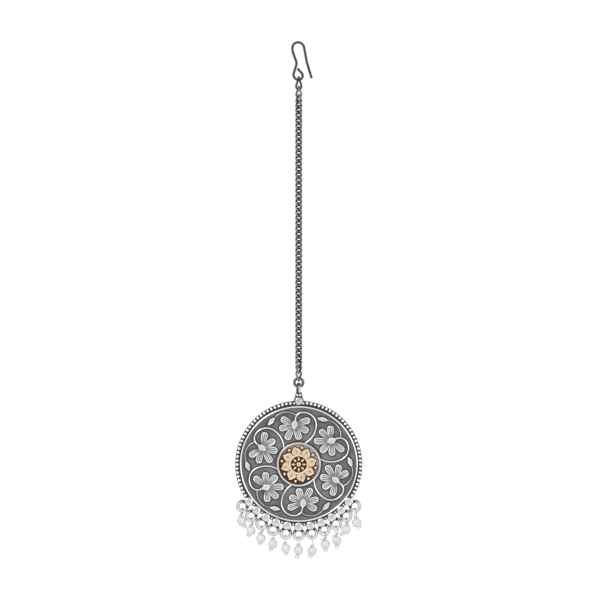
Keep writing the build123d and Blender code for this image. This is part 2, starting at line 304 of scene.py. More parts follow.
# %% Colour and node helpers
def linear(code):
    """An sRGB hex colour as the linear RGBA that the shader wants."""
    channels = [int(code[index:index + 2], 16) / 255 for index in (1, 3, 5)]
    return tuple(c / 12.92 if c <= 0.04045 else ((c + 0.055) / 1.055) ** 2.4 for c in channels) + (1.0,)


def bare_tree(owner):
    """The emptied node tree of a material or world."""
    owner.use_nodes = True
    owner.node_tree.nodes.clear()
    return owner.node_tree


def add(tree, kind, inputs=None, **settings):
    """Adds one node. inputs maps a socket to a value, or to the socket that feeds it."""
    made = tree.nodes.new("ShaderNode" + kind)
    for setting, value in settings.items():
        setattr(made, setting, value)
    for socket, value in (inputs or {}).items():
        if isinstance(value, bpy.types.NodeSocket):
            tree.links.new(value, made.inputs[socket])
        else:
            made.inputs[socket].default_value = value
    return made


def ramp(tree, factor, stops, to_rgba=linear):
    """A ramp through rows of (position, hex colour), or of what else to_rgba turns into a colour."""
    made = add(tree, "ValToRGB", {"Fac": factor})
    elements = made.color_ramp.elements
    while len(elements) < len(stops):
        elements.new(0.5)
    for element, (position, code) in zip(elements, stops):
        element.position = position
        element.color = to_rgba(code)
    return made.outputs["Color"]


def any_ray(tree, *kinds):
    """1 where the ray is of one of these kinds."""
    rays = add(tree, "LightPath").outputs
    found = rays[kinds[0]]
    for kind in kinds[1:]:
        found = add(tree, "Math", {0: found, 1: rays[kind]}, operation="MAXIMUM").outputs[0]
    return found


def per_metre(size_mm):
    """A noise scale that gives features of this size in millimetres."""
    return 1 / (size_mm * MM)


# %% [markdown]
# ### Metals with a patina
# Oxidised silver is dipped in liver of sulphur until it is black and then polished, so that hollows stay black and
# ridges shine. Sulphide is a dull crust, so a blackened wire doesn't flash white at its edge as clean metal does:
# the edge tint, which Blender keeps in a metal's specular tint, is dark there.

# %% Build a patinated metal
def patinated(name, stops, rough_dark, rough_bright, cloud_mm, cloud, grain_mm, grain_depth_mm, start=None,
              edge_tint="#FFFFFF"):
    """stops are (polish, colour) rows. The clouds of tarnish and the grain have a size and a strength or depth.
    start is a fixed polish for a mesh that carries none."""
    material = bpy.data.materials.new(name)
    tree = bare_tree(material)
    place = add(tree, "TexCoord").outputs["Object"]
    clouds = add(tree, "TexNoise", {"Vector": place, "Scale": per_metre(cloud_mm), "Detail": 3.0})
    wander = add(tree, "MapRange", {"Value": clouds.outputs["Fac"], "From Min": 0.25, "From Max": 0.75,
                                    "To Min": -cloud, "To Max": cloud})
    polish = add(tree, "Attribute", attribute_name="polish").outputs["Fac"] if start is None else start
    level = add(tree, "Math", {0: polish, 1: wander.outputs[0]}, operation="ADD", use_clamp=True)
    colour = ramp(tree, level.outputs[0], stops)
    roughness = add(tree, "MapRange", {"Value": level.outputs[0], "To Min": rough_dark, "To Max": rough_bright})
    grain = add(tree, "TexNoise", {"Vector": place, "Scale": per_metre(grain_mm), "Detail": 2.0})
    bump = add(tree, "Bump", {"Height": grain.outputs["Fac"], "Strength": 0.6, "Distance": grain_depth_mm * MM})
    shader = add(tree, "BsdfPrincipled", {
        "Base Color": colour, "Roughness": roughness.outputs[0],
        "Normal": bump.outputs["Normal"], "Metallic": 1.0, "Specular Tint": linear(edge_tint)})
    add(tree, "OutputMaterial", {"Surface": shader.outputs["BSDF"]})
    return material


# %% [markdown]
# ### The silvers
# Silver that is oxidised and brushed keeps a fine matt grain, which gives the dark field its even grey. The grain
# is drawn at 0.3 mm, coarser than a brush's real 0.05 mm, so that it shows. Burnished silver, on the cups, rims
# and rings, is smoother, and only its seams stay dark. The chain and hook are blackened all over and worn bright
# where links rub.

# %% Silver materials
SILVER_STOPS = [(0.0, "#1A1A1B"), (0.35, "#666668"), (0.7, "#BEBEBF"), (1.0, "#FBFBF9")]

oxidised_silver = patinated("oxidised_silver", SILVER_STOPS, 0.5, 0.3, 2.2, 0.05, 0.3, 0.006,
                            edge_tint="#9A9A9A")
burnished_silver = patinated("burnished_silver", [(0.0, "#1B1B1C"), (0.4, "#77777A"), (1.0, "#F9F9F7")],
                             0.42, 0.22, 0.8, 0.05, 0.5, 0.004, edge_tint="#9A9A9A")
blackened_silver = patinated("blackened_silver", [(0.0, "#0E0E0F"), (0.5, "#565658"), (1.0, "#A9A9AB")],
                             0.45, 0.32, 0.6, 0.08, 0.25, 0.006, edge_tint="#3A3A3A")
blackened_wire = patinated("blackened_silver_wire", [(0.0, "#2E2E2F"), (1.0, "#858587")],
                           0.42, 0.34, 1.1, 0.15, 0.25, 0.005, start=0.3, edge_tint="#2A2A2A")
worn_wire = patinated("worn_silver_wire", [(0.0, "#2E2E2F"), (1.0, "#A0A0A2")],
                      0.42, 0.34, 0.9, 0.15, 0.25, 0.005, start=0.44, edge_tint="#3A3A3A")
silver_wire = patinated("bright_silver_wire", [(0.0, "#3A3A3B"), (0.5, "#A2A2A4"), (1.0, "#EFEFEE")],
                        0.45, 0.36, 0.5, 0.08, 0.3, 0.004, edge_tint="#A6A6A6")

# %% [markdown]
# ### Gilding
# The rosette is gilt: a thin layer of rose-yellow gold, matt from the pickle it was cleaned in, over an unpolished
# ground that is nearly black brown.

# %% Gilt material
gilt = patinated("matt_gilding", [(0.0, "#24140E"), (0.3, "#5E4438"), (0.7, "#D6B68E"), (1.0, "#FFF0D8")],
                 0.55, 0.4, 0.8, 0.04, 0.22, 0.006, edge_tint="#B89A80")
tarnished_ground = patinated("tarnished_gilding", [(0.0, "#321A09"), (0.35, "#654A36"), (1.0, "#C0B2AC")],
                             0.6, 0.45, 0.7, 0.08, 0.22, 0.008, edge_tint="#6A5A54")

# %% [markdown]
# ### Pearl
# A pearl looks soft because light goes a little way in, and bright because its skin is smooth: a pale, slightly
# rough base under a clear coat. Faint growth bands and pits keep it from looking moulded.

# %% Pearl material
pearl_nacre = bpy.data.materials.new("pearl_nacre")
tree = bare_tree(pearl_nacre)
place = add(tree, "TexCoord").outputs["Object"]
bands = add(tree, "TexNoise", {"Vector": place, "Scale": per_metre(1.6), "Detail": 3.0, "Distortion": 0.6})
tint = ramp(tree, bands.outputs["Fac"], [(0.3, "#DADADB"), (0.7, "#ECECEE")])
pits = add(tree, "TexNoise", {"Vector": place, "Scale": per_metre(0.4), "Detail": 2.0})
skin_bump = add(tree, "Bump", {"Height": pits.outputs["Fac"], "Strength": 0.5, "Distance": 0.008 * MM})
shader = add(tree, "BsdfPrincipled", {
    "Base Color": tint, "Roughness": 0.32, "IOR": 1.53, "Coat Weight": 0.9,
    "Coat Roughness": 0.08, "Normal": skin_bump.outputs["Normal"]})
add(tree, "OutputMaterial", {"Surface": shader.outputs["BSDF"]})
print(len(bpy.data.materials), "materials in the file")

# %% [markdown]
# ## Hook, end link and jump ring
# These three are plain bent wire. They keep their CAD shapes and only take the blackened finish.

# %% Finish the CAD wires
for node, finish in (("hook", blackened_wire), ("end_link", blackened_wire), ("jump_ring", worn_wire)):
    node_mesh = frame["nodes"][node].data
    node_mesh.materials.clear()
    node_mesh.materials.append(finish)
    print(node, "keeps its CAD shape,", len(node_mesh.polygons), "faces")

# %% [markdown]
# ## The curb chain
# A curb chain's oval links are twisted as they close, so that it lies flat: each link's upper right and lower left
# stand forward, and its other two quarters stand back. That gives the slanting strands between the open windows.
# The links hang one in the next, so their pitch is an outer height less two wires and a little slack. The first
# and last links are the CAD model's own open links, turned to pass their neighbours.

# %% Curb chain
CHAIN_WIRE, CHAIN_WIDTH, CHAIN_TWIST = 0.6, 1.96, 0.44
END_LINK_TWIST = 0.4
FIRST_LINK = {"width": 2.1, "height": 3.5, "wire": 0.58, "turn": -50.0}
LAST_LINK = {"width": 2.2, "height": 3.3, "wire": 0.54, "turn": 55.0}
LINK_STEPS, LINK_SLACK, PITCH_AIM = 36, 0.04, 1.5
TOP_TURNS, BOTTOM_TURNS = (-38.0, -25.0, -12.0), (14.0, 28.0, 42.0)     # links that turn back to lie flat


def link_route(width, height, thickness, twist, turn, middle_z):
    """The centre line of a twisted oval link."""
    t = np.arange(LINK_STEPS) * 2 * math.pi / LINK_STEPS
    across = (width - thickness) / 2 * np.cos(t)
    depth = -twist * np.sin(2 * t)
    turned_by = math.radians(turn)
    return np.stack([across * math.cos(turned_by) - depth * math.sin(turned_by),
                     across * math.sin(turned_by) + depth * math.cos(turned_by),
                     middle_z + (height - thickness) / 2 * np.sin(t)], 1)


chain_low, chain_high = box_mm("chain")
first_middle = chain_high[2] - FIRST_LINK["height"] / 2
last_middle = chain_low[2] + LAST_LINK["height"] / 2
upper_seat = chain_high[2] - FIRST_LINK["height"] + FIRST_LINK["wire"] + CHAIN_WIRE     # the first curb link's top
lower_seat = chain_low[2] + LAST_LINK["height"] - LAST_LINK["wire"] - CHAIN_WIRE
curb_count = round((upper_seat - lower_seat - 2 * CHAIN_WIRE) / PITCH_AIM)
curb_pitch = (upper_seat - lower_seat - 2 * CHAIN_WIRE - LINK_SLACK) / curb_count
curb_height = curb_pitch + 2 * CHAIN_WIRE + LINK_SLACK
curb_turns = np.zeros(curb_count)
curb_turns[:len(TOP_TURNS)] = TOP_TURNS
curb_turns[-len(BOTTOM_TURNS):] = BOTTOM_TURNS

links = [(spec["width"], spec["height"], spec["wire"], END_LINK_TWIST, spec["turn"], middle)
         for spec, middle in ((FIRST_LINK, first_middle), (LAST_LINK, last_middle))]
links += [(CHAIN_WIDTH, curb_height, CHAIN_WIRE, CHAIN_TWIST, turn, upper_seat - curb_height / 2 - index * curb_pitch)
          for index, turn in enumerate(curb_turns)]
chain_links = [wire(link_route(*row), row[2] / 2, sides=10, closed=True) for row in links]
points, faces, _ = join(chain_links)
from_axis = np.hypot(points[:, 0], points[:, 1])
worn = 0.5 + 0.28 * smooth(from_axis, 0.4, 0.98)
piece("curb_chain", [(points, faces, worn)], blackened_silver, "chain", ["chain"])
print(curb_count, "curb links at a pitch of", round(curb_pitch, 4), "mm, each", round(curb_height, 3), "high")

# %% [markdown]
# ## The relief: petals, ovals, vines and leaves
# The six flowers are pressed or cast in one with the plate. A petal is a teardrop with a raised rim round its tip
# and fine ridges that run to its root, with black left between them. It is skinned from rows across it, so that
# the ridges follow the mesh and stay crisp. The height at a point comes from two distances: how far it is inside
# the outline, and how far off the petal's middle line.

# %% Raised shapes on the plate
BURY = 0.06             # how far raised shapes reach down into the plate


def boss(spine, half_widths, height, polish, foot=0.0):
    """spine is n points (a, b); height and polish are n x m over the width. foot lifts it off the face."""
    spine = np.asarray(spine, float)
    along = np.gradient(spine, axis=0)
    along /= np.linalg.norm(along, axis=1)[:, None]
    across = np.stack([-along[:, 1], along[:, 0]], 1)
    u = np.linspace(-1, 1, height.shape[1])
    u = np.concatenate([u, [1, -1]])
    sunk = np.full((len(spine), 2), -BURY)
    heights = np.hstack([height, sunk]) + foot
    values = np.hstack([polish, np.zeros((len(spine), 2))])
    offset = np.asarray(half_widths, float)[:, None] * u
    a = spine[:, :1] + across[:, :1] * offset
    b = spine[:, 1:] + across[:, 1:] * offset
    return skin(on_disc(a, b, heights), values)


def repeat_round(shape, count):
    """The same shape count times about the disc's centre."""
    points, faces, polish = shape
    copies = []
    for index in range(count):
        turn = math.radians(360.0 / count * index)
        a, b = points[:, 0], points[:, 2] - disc_z
        spun = np.stack([a * math.cos(turn) - b * math.sin(turn), points[:, 1],
                         disc_z + a * math.sin(turn) + b * math.cos(turn)], 1)
        copies.append((spun, faces, polish))
    return copies


# %% [markdown]
# The pressed sheet isn't quite round: it is two hundredths lower than it is wide, and set a little high. Its
# relief and the rim wire round it are made on a true circle and then settled into that shape.

# %% Settle onto the sheet
SHEET_SQUASH, SHEET_RIGHT, SHEET_UP = 0.98, 0.02, 0.12


def settled(shapes):
    """Shapes made on a true circle, moved to where the sheet has them."""
    moved = []
    for points, faces, polish in shapes:
        points = points.copy()
        points[:, 0] += SHEET_RIGHT
        points[:, 2] = disc_z + SHEET_SQUASH * (points[:, 2] - disc_z) + SHEET_UP
        moved.append((points, faces, polish))
    return moved


# %% One petal
FLOWER_COUNT = 6
FLOWER_CENTRE = np.array((-1.18, 11.26))
PETAL_ROOT = 0.45           # half width where a petal leaves the flower's oval
PETAL_START = 0.75          # distance of that root from the oval's centre
GROOVES = (-0.52, 0.0, 0.52)        # where the dark lines run, over a petal's half width
GROOVE_WIDTH = 0.115
# direction from the oval, reach to the middle of the round tip, the tip's radius
PETALS = [(18.0, 3.62, 1.00), (-28.0, 3.39, 1.02), (-72.5, 3.54, 1.06),
          (-118.0, 4.00, 1.02), (-163.0, 3.63, 0.97), (155.5, 3.30, 1.00)]
PETAL_COLUMNS = 45


def petal(direction, reach, tip_radius):
    shank = np.linspace(PETAL_START, reach, 14)
    tip = reach + tip_radius * np.sin(np.radians(np.linspace(9, 88, 11)))
    s = np.concatenate([shank, tip])
    along = np.clip((s - PETAL_START) / (reach - PETAL_START), 0, 1)
    shank_half = PETAL_ROOT + (tip_radius - PETAL_ROOT) * np.sin(along * math.pi / 2) ** 1.1
    w = np.where(s <= reach, shank_half, np.sqrt(np.maximum(tip_radius ** 2 - (s - reach) ** 2, 1e-4)))
    turn = math.radians(direction)
    spine = FLOWER_CENTRE + np.outer(s, (math.cos(turn), math.sin(turn)))
    u = np.linspace(-1, 1, PETAL_COLUMNS)[None, :]
    x = w[:, None] * u
    inside = np.where(s[:, None] > reach, tip_radius - np.hypot(s[:, None] - reach, x), w[:, None] * (1 - abs(u)))
    rim = np.exp(-((inside - 0.18) / 0.14) ** 2)
    groove = sum(np.exp(-((x - share * shank_half[:, None]) / GROOVE_WIDTH) ** 2) for share in GROOVES)
    groove = np.clip(groove, 0, 1) * smooth(inside / shank_half[:, None], 0.28, 0.42)
    from_root = smooth(s, PETAL_START - 0.1, PETAL_START + 2.0)[:, None]
    lift = smooth(inside, 0.0, 0.09)
    height = lift * (0.2 + 0.08 * from_root + 0.05 * rim - 0.05 * groove * from_root)
    sides = (1 - from_root) * smooth(inside, -0.05, 0.24) + from_root * smooth(inside, -0.05, 0.03)
    # darker toward the root: patina and painted shade where the petals crowd round the oval
    polish = sides * (0.48 + 0.54 * from_root + 0.12 * rim - 1.0 * groove * from_root)
    return boss(spine, w, height, np.clip(polish, 0, 1))


# %% One flower's oval, and its leaf
def lens(start, end, half_width, bow, crown, dish, steps=17, columns=13, point=0.8):
    """A pointed oval between two tips: crown is its height, dish how far its middle is hollowed."""
    start, end = np.asarray(start, float), np.asarray(end, float)
    t = np.linspace(0.012, 0.988, steps)
    along = end - start
    side = np.array((-along[1], along[0])) / np.linalg.norm(along)
    spine = start + np.outer(t, along) + np.outer(np.sin(math.pi * t) * bow, side)
    w = half_width * np.sin(math.pi * t) ** point
    u = np.linspace(-1, 1, columns)[None, :]
    inside = w[:, None] * (1 - abs(u))
    height = smooth(inside, 0, 0.2) * crown - dish * smooth(inside, 0.25, 0.6)
    polish = smooth(inside, -0.03, 0.12) * (0.95 - 0.9 * dish * smooth(inside, 0.2, 0.5))
    return boss(spine, w, height, polish)


OVAL_LENGTH, OVAL_WIDTH, OVAL_TURN = 3.0, 1.84, math.radians(82.0)
oval_half = OVAL_LENGTH / 2 * np.array((math.cos(OVAL_TURN), math.sin(OVAL_TURN)))
oval = lens(FLOWER_CENTRE - oval_half, FLOWER_CENTRE + oval_half, OVAL_WIDTH / 2, 0.0, 0.42, 0.1, point=0.6)
LEAF_TIPS = ((-6.52, 13.38), (-8.74, 10.80))
leaf = lens(*LEAF_TIPS, 0.76, -0.08, 0.32, 0.12)


# %% Vine and branch
def arc_through(start, middle, end, count=14):
    """Points on the circle through three points of the disc's face."""
    (ax, ay), (bx, by), (cx, cy) = start, middle, end
    d = 2 * (ax * (by - cy) + bx * (cy - ay) + cx * (ay - by))
    ux = ((ax**2 + ay**2) * (by - cy) + (bx**2 + by**2) * (cy - ay) + (cx**2 + cy**2) * (ay - by)) / d
    uy = ((ax**2 + ay**2) * (cx - bx) + (bx**2 + by**2) * (ax - cx) + (cx**2 + cy**2) * (bx - ax)) / d
    angles = np.unwrap([math.atan2(y - uy, x - ux) for x, y in (start, middle, end)])
    radius = math.hypot(ax - ux, ay - uy)
    sweep = np.linspace(angles[0], angles[2], count)
    return np.stack([ux + radius * np.cos(sweep), uy + radius * np.sin(sweep)], 1)


VINE_ARCS = [((1.60, 5.80), (3.70, 7.65), (4.87, 11.20)), ((4.87, 11.20), (4.00, 13.50), (1.40, 14.73)),
             ((1.40, 14.73), (-0.30, 14.17), (-0.98, 12.55))]
BRANCH_ARC = ((-0.90, 14.00), (-3.60, 14.80), (-6.60, 13.35))
VINE_RADIUS, BRANCH_RADIUS = 0.235, 0.175

vine_line = np.vstack([arc_through(*VINE_ARCS[0]), arc_through(*VINE_ARCS[1])[1:], arc_through(*VINE_ARCS[2])[1:]])
vine = wire(on_disc(vine_line[:, 0], vine_line[:, 1], 0.06), VINE_RADIUS, polish=0.95)
branch_line = arc_through(*BRANCH_ARC, count=18)
taper = np.linspace(1.0, 0.75, len(branch_line))
branch = wire(on_disc(branch_line[:, 0], branch_line[:, 1], 0.04), BRANCH_RADIUS * taper, polish=0.72)

petal_pieces, boss_pieces, vine_pieces = [
    settled(repeat_round(join(shapes), FLOWER_COUNT))
    for shapes in ([petal(*row) for row in PETALS], [oval, leaf], [vine, branch])]
piece("petals", petal_pieces, oxidised_silver)
piece("ovals_and_leaves", boss_pieces, oxidised_silver)
piece("vines", vine_pieces, burnished_silver, rub=(0.8, 0.2, 0.8))

# %% [markdown]
# ## The plate
# The plate is one sheet of silver with a flat back. Its field is matt and evenly grey but for painted shade: it is
# darker toward the rim, as a dished field would be shaded, and darker in a halo round every raised shape and at the
# bezel's foot, patina and painted shade together. The edge is a little wider under the grains, and narrower behind
# the fringe, where daylight shows between the cups. The mesh is a polar grid fine enough to carry that halo as
# polish values.

# %% Plate
PLATE_EDGE, FRINGE_EDGE = 17.78, 17.3
BEADS_FROM, BEADS_TO = -31.0, 211.0     # the beaded rim's ends, in degrees
GROOVE_FROM, FIELD_FROM = 16.3, 6.0
PLATE_COLUMNS = 360
FIELD_INNER, FIELD_OUTER = 0.48, 0.405     # the field's polish, which falls toward the rim as painted shade of a dished field
GROOVE_POLISH, BACK_POLISH, EDGE_ROUND = 0.19, 0.62, 0.12

columns_deg = np.arange(PLATE_COLUMNS) * 360 / PLATE_COLUMNS
past_end = np.minimum((columns_deg - BEADS_TO) % 360, (BEADS_FROM - columns_deg) % 360)
in_fringe = ((columns_deg - BEADS_TO) % 360) < (BEADS_FROM - BEADS_TO) % 360
edge = np.where(in_fringe, PLATE_EDGE + (FRINGE_EDGE - PLATE_EDGE) * smooth(past_end, 0, 3), PLATE_EDGE)
plate_thick = back_y - front_y
# rows of (inset from the edge, height above the face)
edge_rows = [(EDGE_ROUND, -plate_thick), (0.0, -plate_thick + EDGE_ROUND), (0.0, -EDGE_ROUND), (EDGE_ROUND, 0.0)]
field_radii = np.concatenate([np.linspace(16.9, GROOVE_FROM, 4), np.arange(GROOVE_FROM - 0.22, FIELD_FROM, -0.22)])
back_radii = (4.0, 8.0, 12.0, 16.0)
rows = np.array([np.full(PLATE_COLUMNS, radius) for radius in back_radii] + [edge - inset for inset, _ in edge_rows]
                + [np.full(PLATE_COLUMNS, radius) for radius in field_radii])
row_heights = [-plate_thick] * len(back_radii) + [height for _, height in edge_rows] + [0.0] * len(field_radii)
plate_points = polar(rows, columns_deg[None, :], np.array(row_heights)[:, None])

plate_polish = np.full(rows.shape, BACK_POLISH)
first_field = len(back_radii) + len(edge_rows)
relief = petal_pieces + boss_pieces + vine_pieces
from_relief = from_nearest(relief, plate_points[first_field:].reshape(-1, 3)).reshape(-1, PLATE_COLUMNS)
# painted shade: the field darkens from the middle toward the rim
field = FIELD_INNER + (FIELD_OUTER - FIELD_INNER) * smooth(rows[first_field:], 7.0, 14.0)
# darker in a halo round the relief: patina in the corner, and painted shade
plate_polish[first_field:] = field * (0.5 + 0.5 * smooth(from_relief, 0.03, 0.5))
sheet_b = (plate_points[..., 2] - disc_z - SHEET_UP) / SHEET_SQUASH
in_groove = np.hypot(plate_points[..., 0] - SHEET_RIGHT, sheet_b) > GROOVE_FROM - 0.05
# the groove between rim wire and grains is dark: patina in the hollow, and painted shade from the wire and grains
# beside it
plate_polish[in_groove] = GROOVE_POLISH
# darker close to the bezel's foot: patina in the corner, and painted shade
plate_polish *= 1 - 0.5 * smooth(-(rows - FIELD_FROM - 1.1), 0, 0.8)
plate_polish[:len(back_radii) + 2] = BACK_POLISH
piece("plate", [skin(plate_points, plate_polish)], oxidised_silver, stands_for=["pendant"])

# %% [markdown]
# ## Rims and grains
# A plain bright wire runs round the field, then a black groove, and then a row of grains, each a little ball of
# silver soldered down, no two quite the same size. The row stops where the fringe begins, and parts at the top for
# the cup under the bail.

# %% Rim wire and grains
random.seed(4)
RIM_RADIUS, RIM_WIRE = 16.3, 0.23
GRAIN_CIRCLE, GRAIN_RADIUS, GRAIN_PITCH = 17.3, 0.5, 3.74
TOP_GAP, TOP_FIRST = 4.3, 3.5           # from the top to the first grain, and from there to the second

rim_angles = np.arange(160) * 360 / 160
rim = settled([wire(polar(RIM_RADIUS, rim_angles, 0.06), RIM_WIRE, closed=True)])
away = [TOP_GAP, *np.arange(TOP_GAP + TOP_FIRST, (BEADS_TO - BEADS_FROM) / 2, GRAIN_PITCH)]
bead_angles = [90 + side * step for side in (1, -1) for step in away]
GRAIN_MESH = {"rows": 7, "columns": 12}
grains = []
for angle in bead_angles:
    near_top = abs(angle - 90) < TOP_GAP + 1
    size = GRAIN_RADIUS * random.uniform(0.94, 1.04) * (0.72 if near_top else 1.0)
    place = polar(GRAIN_CIRCLE + random.uniform(-0.04, 0.04) - (0.15 if near_top else 0), angle, 0.12)
    grains.append(ball(place, size, **GRAIN_MESH))
piece("rim_wire", rim, burnished_silver, rub=(0.75, 0.2, 0.75))
piece("grains", grains, burnished_silver, rub=(0.85, 0.1, 0.6))
print(len(grains), "grains round the rim")

# %% [markdown]
# ## Bezel
# The rosette sits inside a bezel, a strip of silver stood on edge and burnished over. Its top is rounded and
# bright, a little lower than the gilt petals inside it.

# %% Bezel
BEZEL_IN, BEZEL_OUT, BEZEL_HEIGHT = 5.6, 6.22, 0.62
half_profile = [(0.0, -BURY), (0.0, BEZEL_HEIGHT - 0.2), (0.07, BEZEL_HEIGHT - 0.06), (0.19, BEZEL_HEIGHT)]
bezel_profile = ([(BEZEL_OUT - inset, height) for inset, height in half_profile]
                 + [(BEZEL_IN + inset, height) for inset, height in half_profile[::-1]])
bezel = turned(bezel_profile, columns=96, ring=True, polish=np.full(len(bezel_profile), 0.82))
piece("bezel", [bezel], burnished_silver, rub=(0.75, 0.2, 0.8))

# %% [markdown]
# ## The gilt rosette
# Eight ogee petals stand round a raised ring, each cupped, with a short slit down its middle, and a bead between
# every two. Inside the ring the ground is black round eight seeds and a bead with a dimple.

# %% Rosette
ROSETTE_RADIUS = (rosette_high[0] - rosette_low[0]) / 2
WORN_SIDE = math.radians(55.0)          # the ground is paler toward the upper right
GOLD_THICK = 0.3                        # of the CAD rosette's petals
BASE_HEIGHT = front_y - rosette_low[1] - GOLD_THICK     # the base's face above the plate's
PETAL_COUNT, PETAL_TURN, PETAL_LEAN = 8, 9.6, 4.0       # the tip leans this many degrees on from the root
# an ogee: straight flanks that touch the next petal's, a full shoulder, then a hollow curve to the tip
PETAL_R = np.array((2.70, 3.20, 3.46, 3.64, 3.82, 4.02, 4.22, 4.42, 4.62, 4.80, 4.96, 5.07, 5.14))
PETAL_W = np.array((1.10, 1.30, 1.40, 1.36, 1.27, 1.13, 0.96, 0.76, 0.55, 0.36, 0.20, 0.09, 0.015))

station = np.linspace(PETAL_R[0], PETAL_R[-1], 24)
petal_w = np.interp(station, PETAL_R, PETAL_W)
petal_turn = np.radians(PETAL_TURN + PETAL_LEAN * smooth(station, 2.9, 4.6))
petal_spine = np.stack([station * np.cos(petal_turn), station * np.sin(petal_turn)], 1)
u = np.linspace(-1, 1, 19)[None, :]
x = petal_w[:, None] * u
inside = petal_w[:, None] * (1 - abs(u))
slit = np.exp(-(x / 0.11) ** 2) * (smooth(station, 3.2, 3.45) * (1 - smooth(station, 4.05, 4.35)))[:, None]
free = smooth(station, 3.4, 3.7)[:, None]       # 0 where the flank touches its neighbour, 1 where it stands free
lip = np.exp(-((inside - 0.14) / 0.13) ** 2) * free
gold_height = smooth(inside, 0, 0.1) * (0.15 + 0.09 * lip - 0.13 * slit)
edge_wear = smooth(inside, -0.02, 0.09)
# painted shade: a free petal's cupped middle is darker than its lip, and the slit is darkened as a shadowed crease;
# the free edge is darker too
gold_polish = (edge_wear * free + (0.75 + 0.25 * edge_wear) * (1 - free)) * (0.86 + 0.14 * lip - 0.75 * slit)
gold_polish = np.clip(gold_polish, 0, 1)
gold_petal = boss(petal_spine, petal_w, gold_height, gold_polish, foot=BASE_HEIGHT)
gold_petals = repeat_round(gold_petal, PETAL_COUNT)

RING_MIDDLE, RING_HALF = 2.52, 0.30
ring_section = ((RING_HALF, -BURY), (RING_HALF, 0.14), (0.18, 0.26), (-0.14, 0.28), (-0.27, 0.18),
                (-RING_HALF, -BURY))
gold_ring = turned([(RING_MIDDLE + out, BASE_HEIGHT + up) for out, up in ring_section], columns=64, ring=True,
                   polish=(0.3, 0.8, 0.95, 0.95, 0.6, 0.1))

seed = lens((0.88, 0.0), (2.14, 0.0), 0.42, 0.0, 0.24, 0.0, steps=11, columns=9, point=0.7)
seed = (seed[0] - (0, BASE_HEIGHT, 0), seed[1], seed[2])
seeds = repeat_round(seed, PETAL_COUNT)
bead_profile = [(0.64, -BURY), (0.64, 0.1), (0.56, 0.22), (0.40, 0.29), (0.22, 0.26), (0.1, 0.18), (0.03, 0.16)]
boss_bead = turned([(radius, height + BASE_HEIGHT) for radius, height in bead_profile], columns=20,
                   polish=(0.2, 0.6, 0.9, 1.0, 0.8, 0.3, 0.1))
DOT_CIRCLE, DOT_START, DOT_RADIUS = 4.78, 34.0, 0.44
dots = [ball(polar(DOT_CIRCLE, DOT_START + 360 / PETAL_COUNT * index, BASE_HEIGHT + 0.02), DOT_RADIUS,
             **GRAIN_MESH, polish=0.95) for index in range(PETAL_COUNT)]

# the ground's face is a fine grid, so that it can be dark close round the petals and dots
base_profile = [(0.4, SEAT_GAP), (ROSETTE_RADIUS - 0.05, SEAT_GAP), (ROSETTE_RADIUS, SEAT_GAP + 0.05),
                (ROSETTE_RADIUS, BASE_HEIGHT - 0.05)]
base_profile += [(radius, BASE_HEIGHT) for radius in np.linspace(ROSETTE_RADIUS - 0.05, 0.3, 27)]
points, faces, _ = turned(base_profile, columns=128)
base_a, base_b = points[:, 0], points[:, 2] - disc_z
toward_worn = (base_a * math.cos(WORN_SIDE) + base_b * math.sin(WORN_SIDE)) / ROSETTE_RADIUS
outside_ring = smooth(np.hypot(base_a, base_b), 2.3, 3.0)
shaded = 0.35 + 0.65 * smooth(from_nearest(gold_petals + dots, points), 0.1, 0.55)
base = (points, faces, 0.14 + outside_ring * shaded * (0.08 + 0.74 * smooth(toward_worn, -0.7, 0.9)))
piece("rosette_ground", [base], tarnished_ground, "pendant", ["gold_rosette"])
piece("gilt_rosette", [gold_ring, boss_bead, *gold_petals, *seeds, *dots], gilt, "pendant",
      ["gold_rosette"], rub=(0.4, 0.15, 0.6))

# %% [markdown]
# ## Cups and flat rings
# Each pearl has its own cup, a dome knocked up from sheet, and a flat ring soldered below it. Solder runs dark
# into the corner between them, so the ring is blackest there. Tiny grains fill the corners between neighbouring
# cups.

# %% Fringe hardware
FRINGE_COUNT, FRINGE_PITCH = 11, 10.65
CUP_CIRCLE, CUP_RADIUS = 17.5, 1.25
TOP_CUP_CIRCLE, TOP_CUP_RADIUS = 17.7, 1.14
CUP_POLISH, TOP_CUP_POLISH, DOME_HEIGHT = 0.82, 0.76, 0.45
RING_CIRCLE, RING_OUTER, RING_WIRE, RING_THICK = 19.6, 3.55, 0.88, 0.62
SPACER_CIRCLE, SPACER_RADIUS = 16.85, 0.3
fringe_angles = [270 + FRINGE_PITCH * (index - (FRINGE_COUNT - 1) / 2) for index in range(FRINGE_COUNT)]


def cup(circle, angle, radius, polish):
    """A dome whose rim is flush with the plate's back."""
    turn = math.radians(angle)
    lean = np.radians(np.array((86, 72, 58, 44, 30, 17, 6)))
    dome = [(radius * math.sin(step), DOME_HEIGHT * math.cos(step)) for step in lean]
    dome = [(0.86 * radius, -plate_thick), (0.97 * radius, -plate_thick + 0.15), (radius, -0.3)] + dome
    return turned(dome, (circle * math.cos(turn), circle * math.sin(turn)), columns=28,
                  polish=np.full(len(dome), polish))


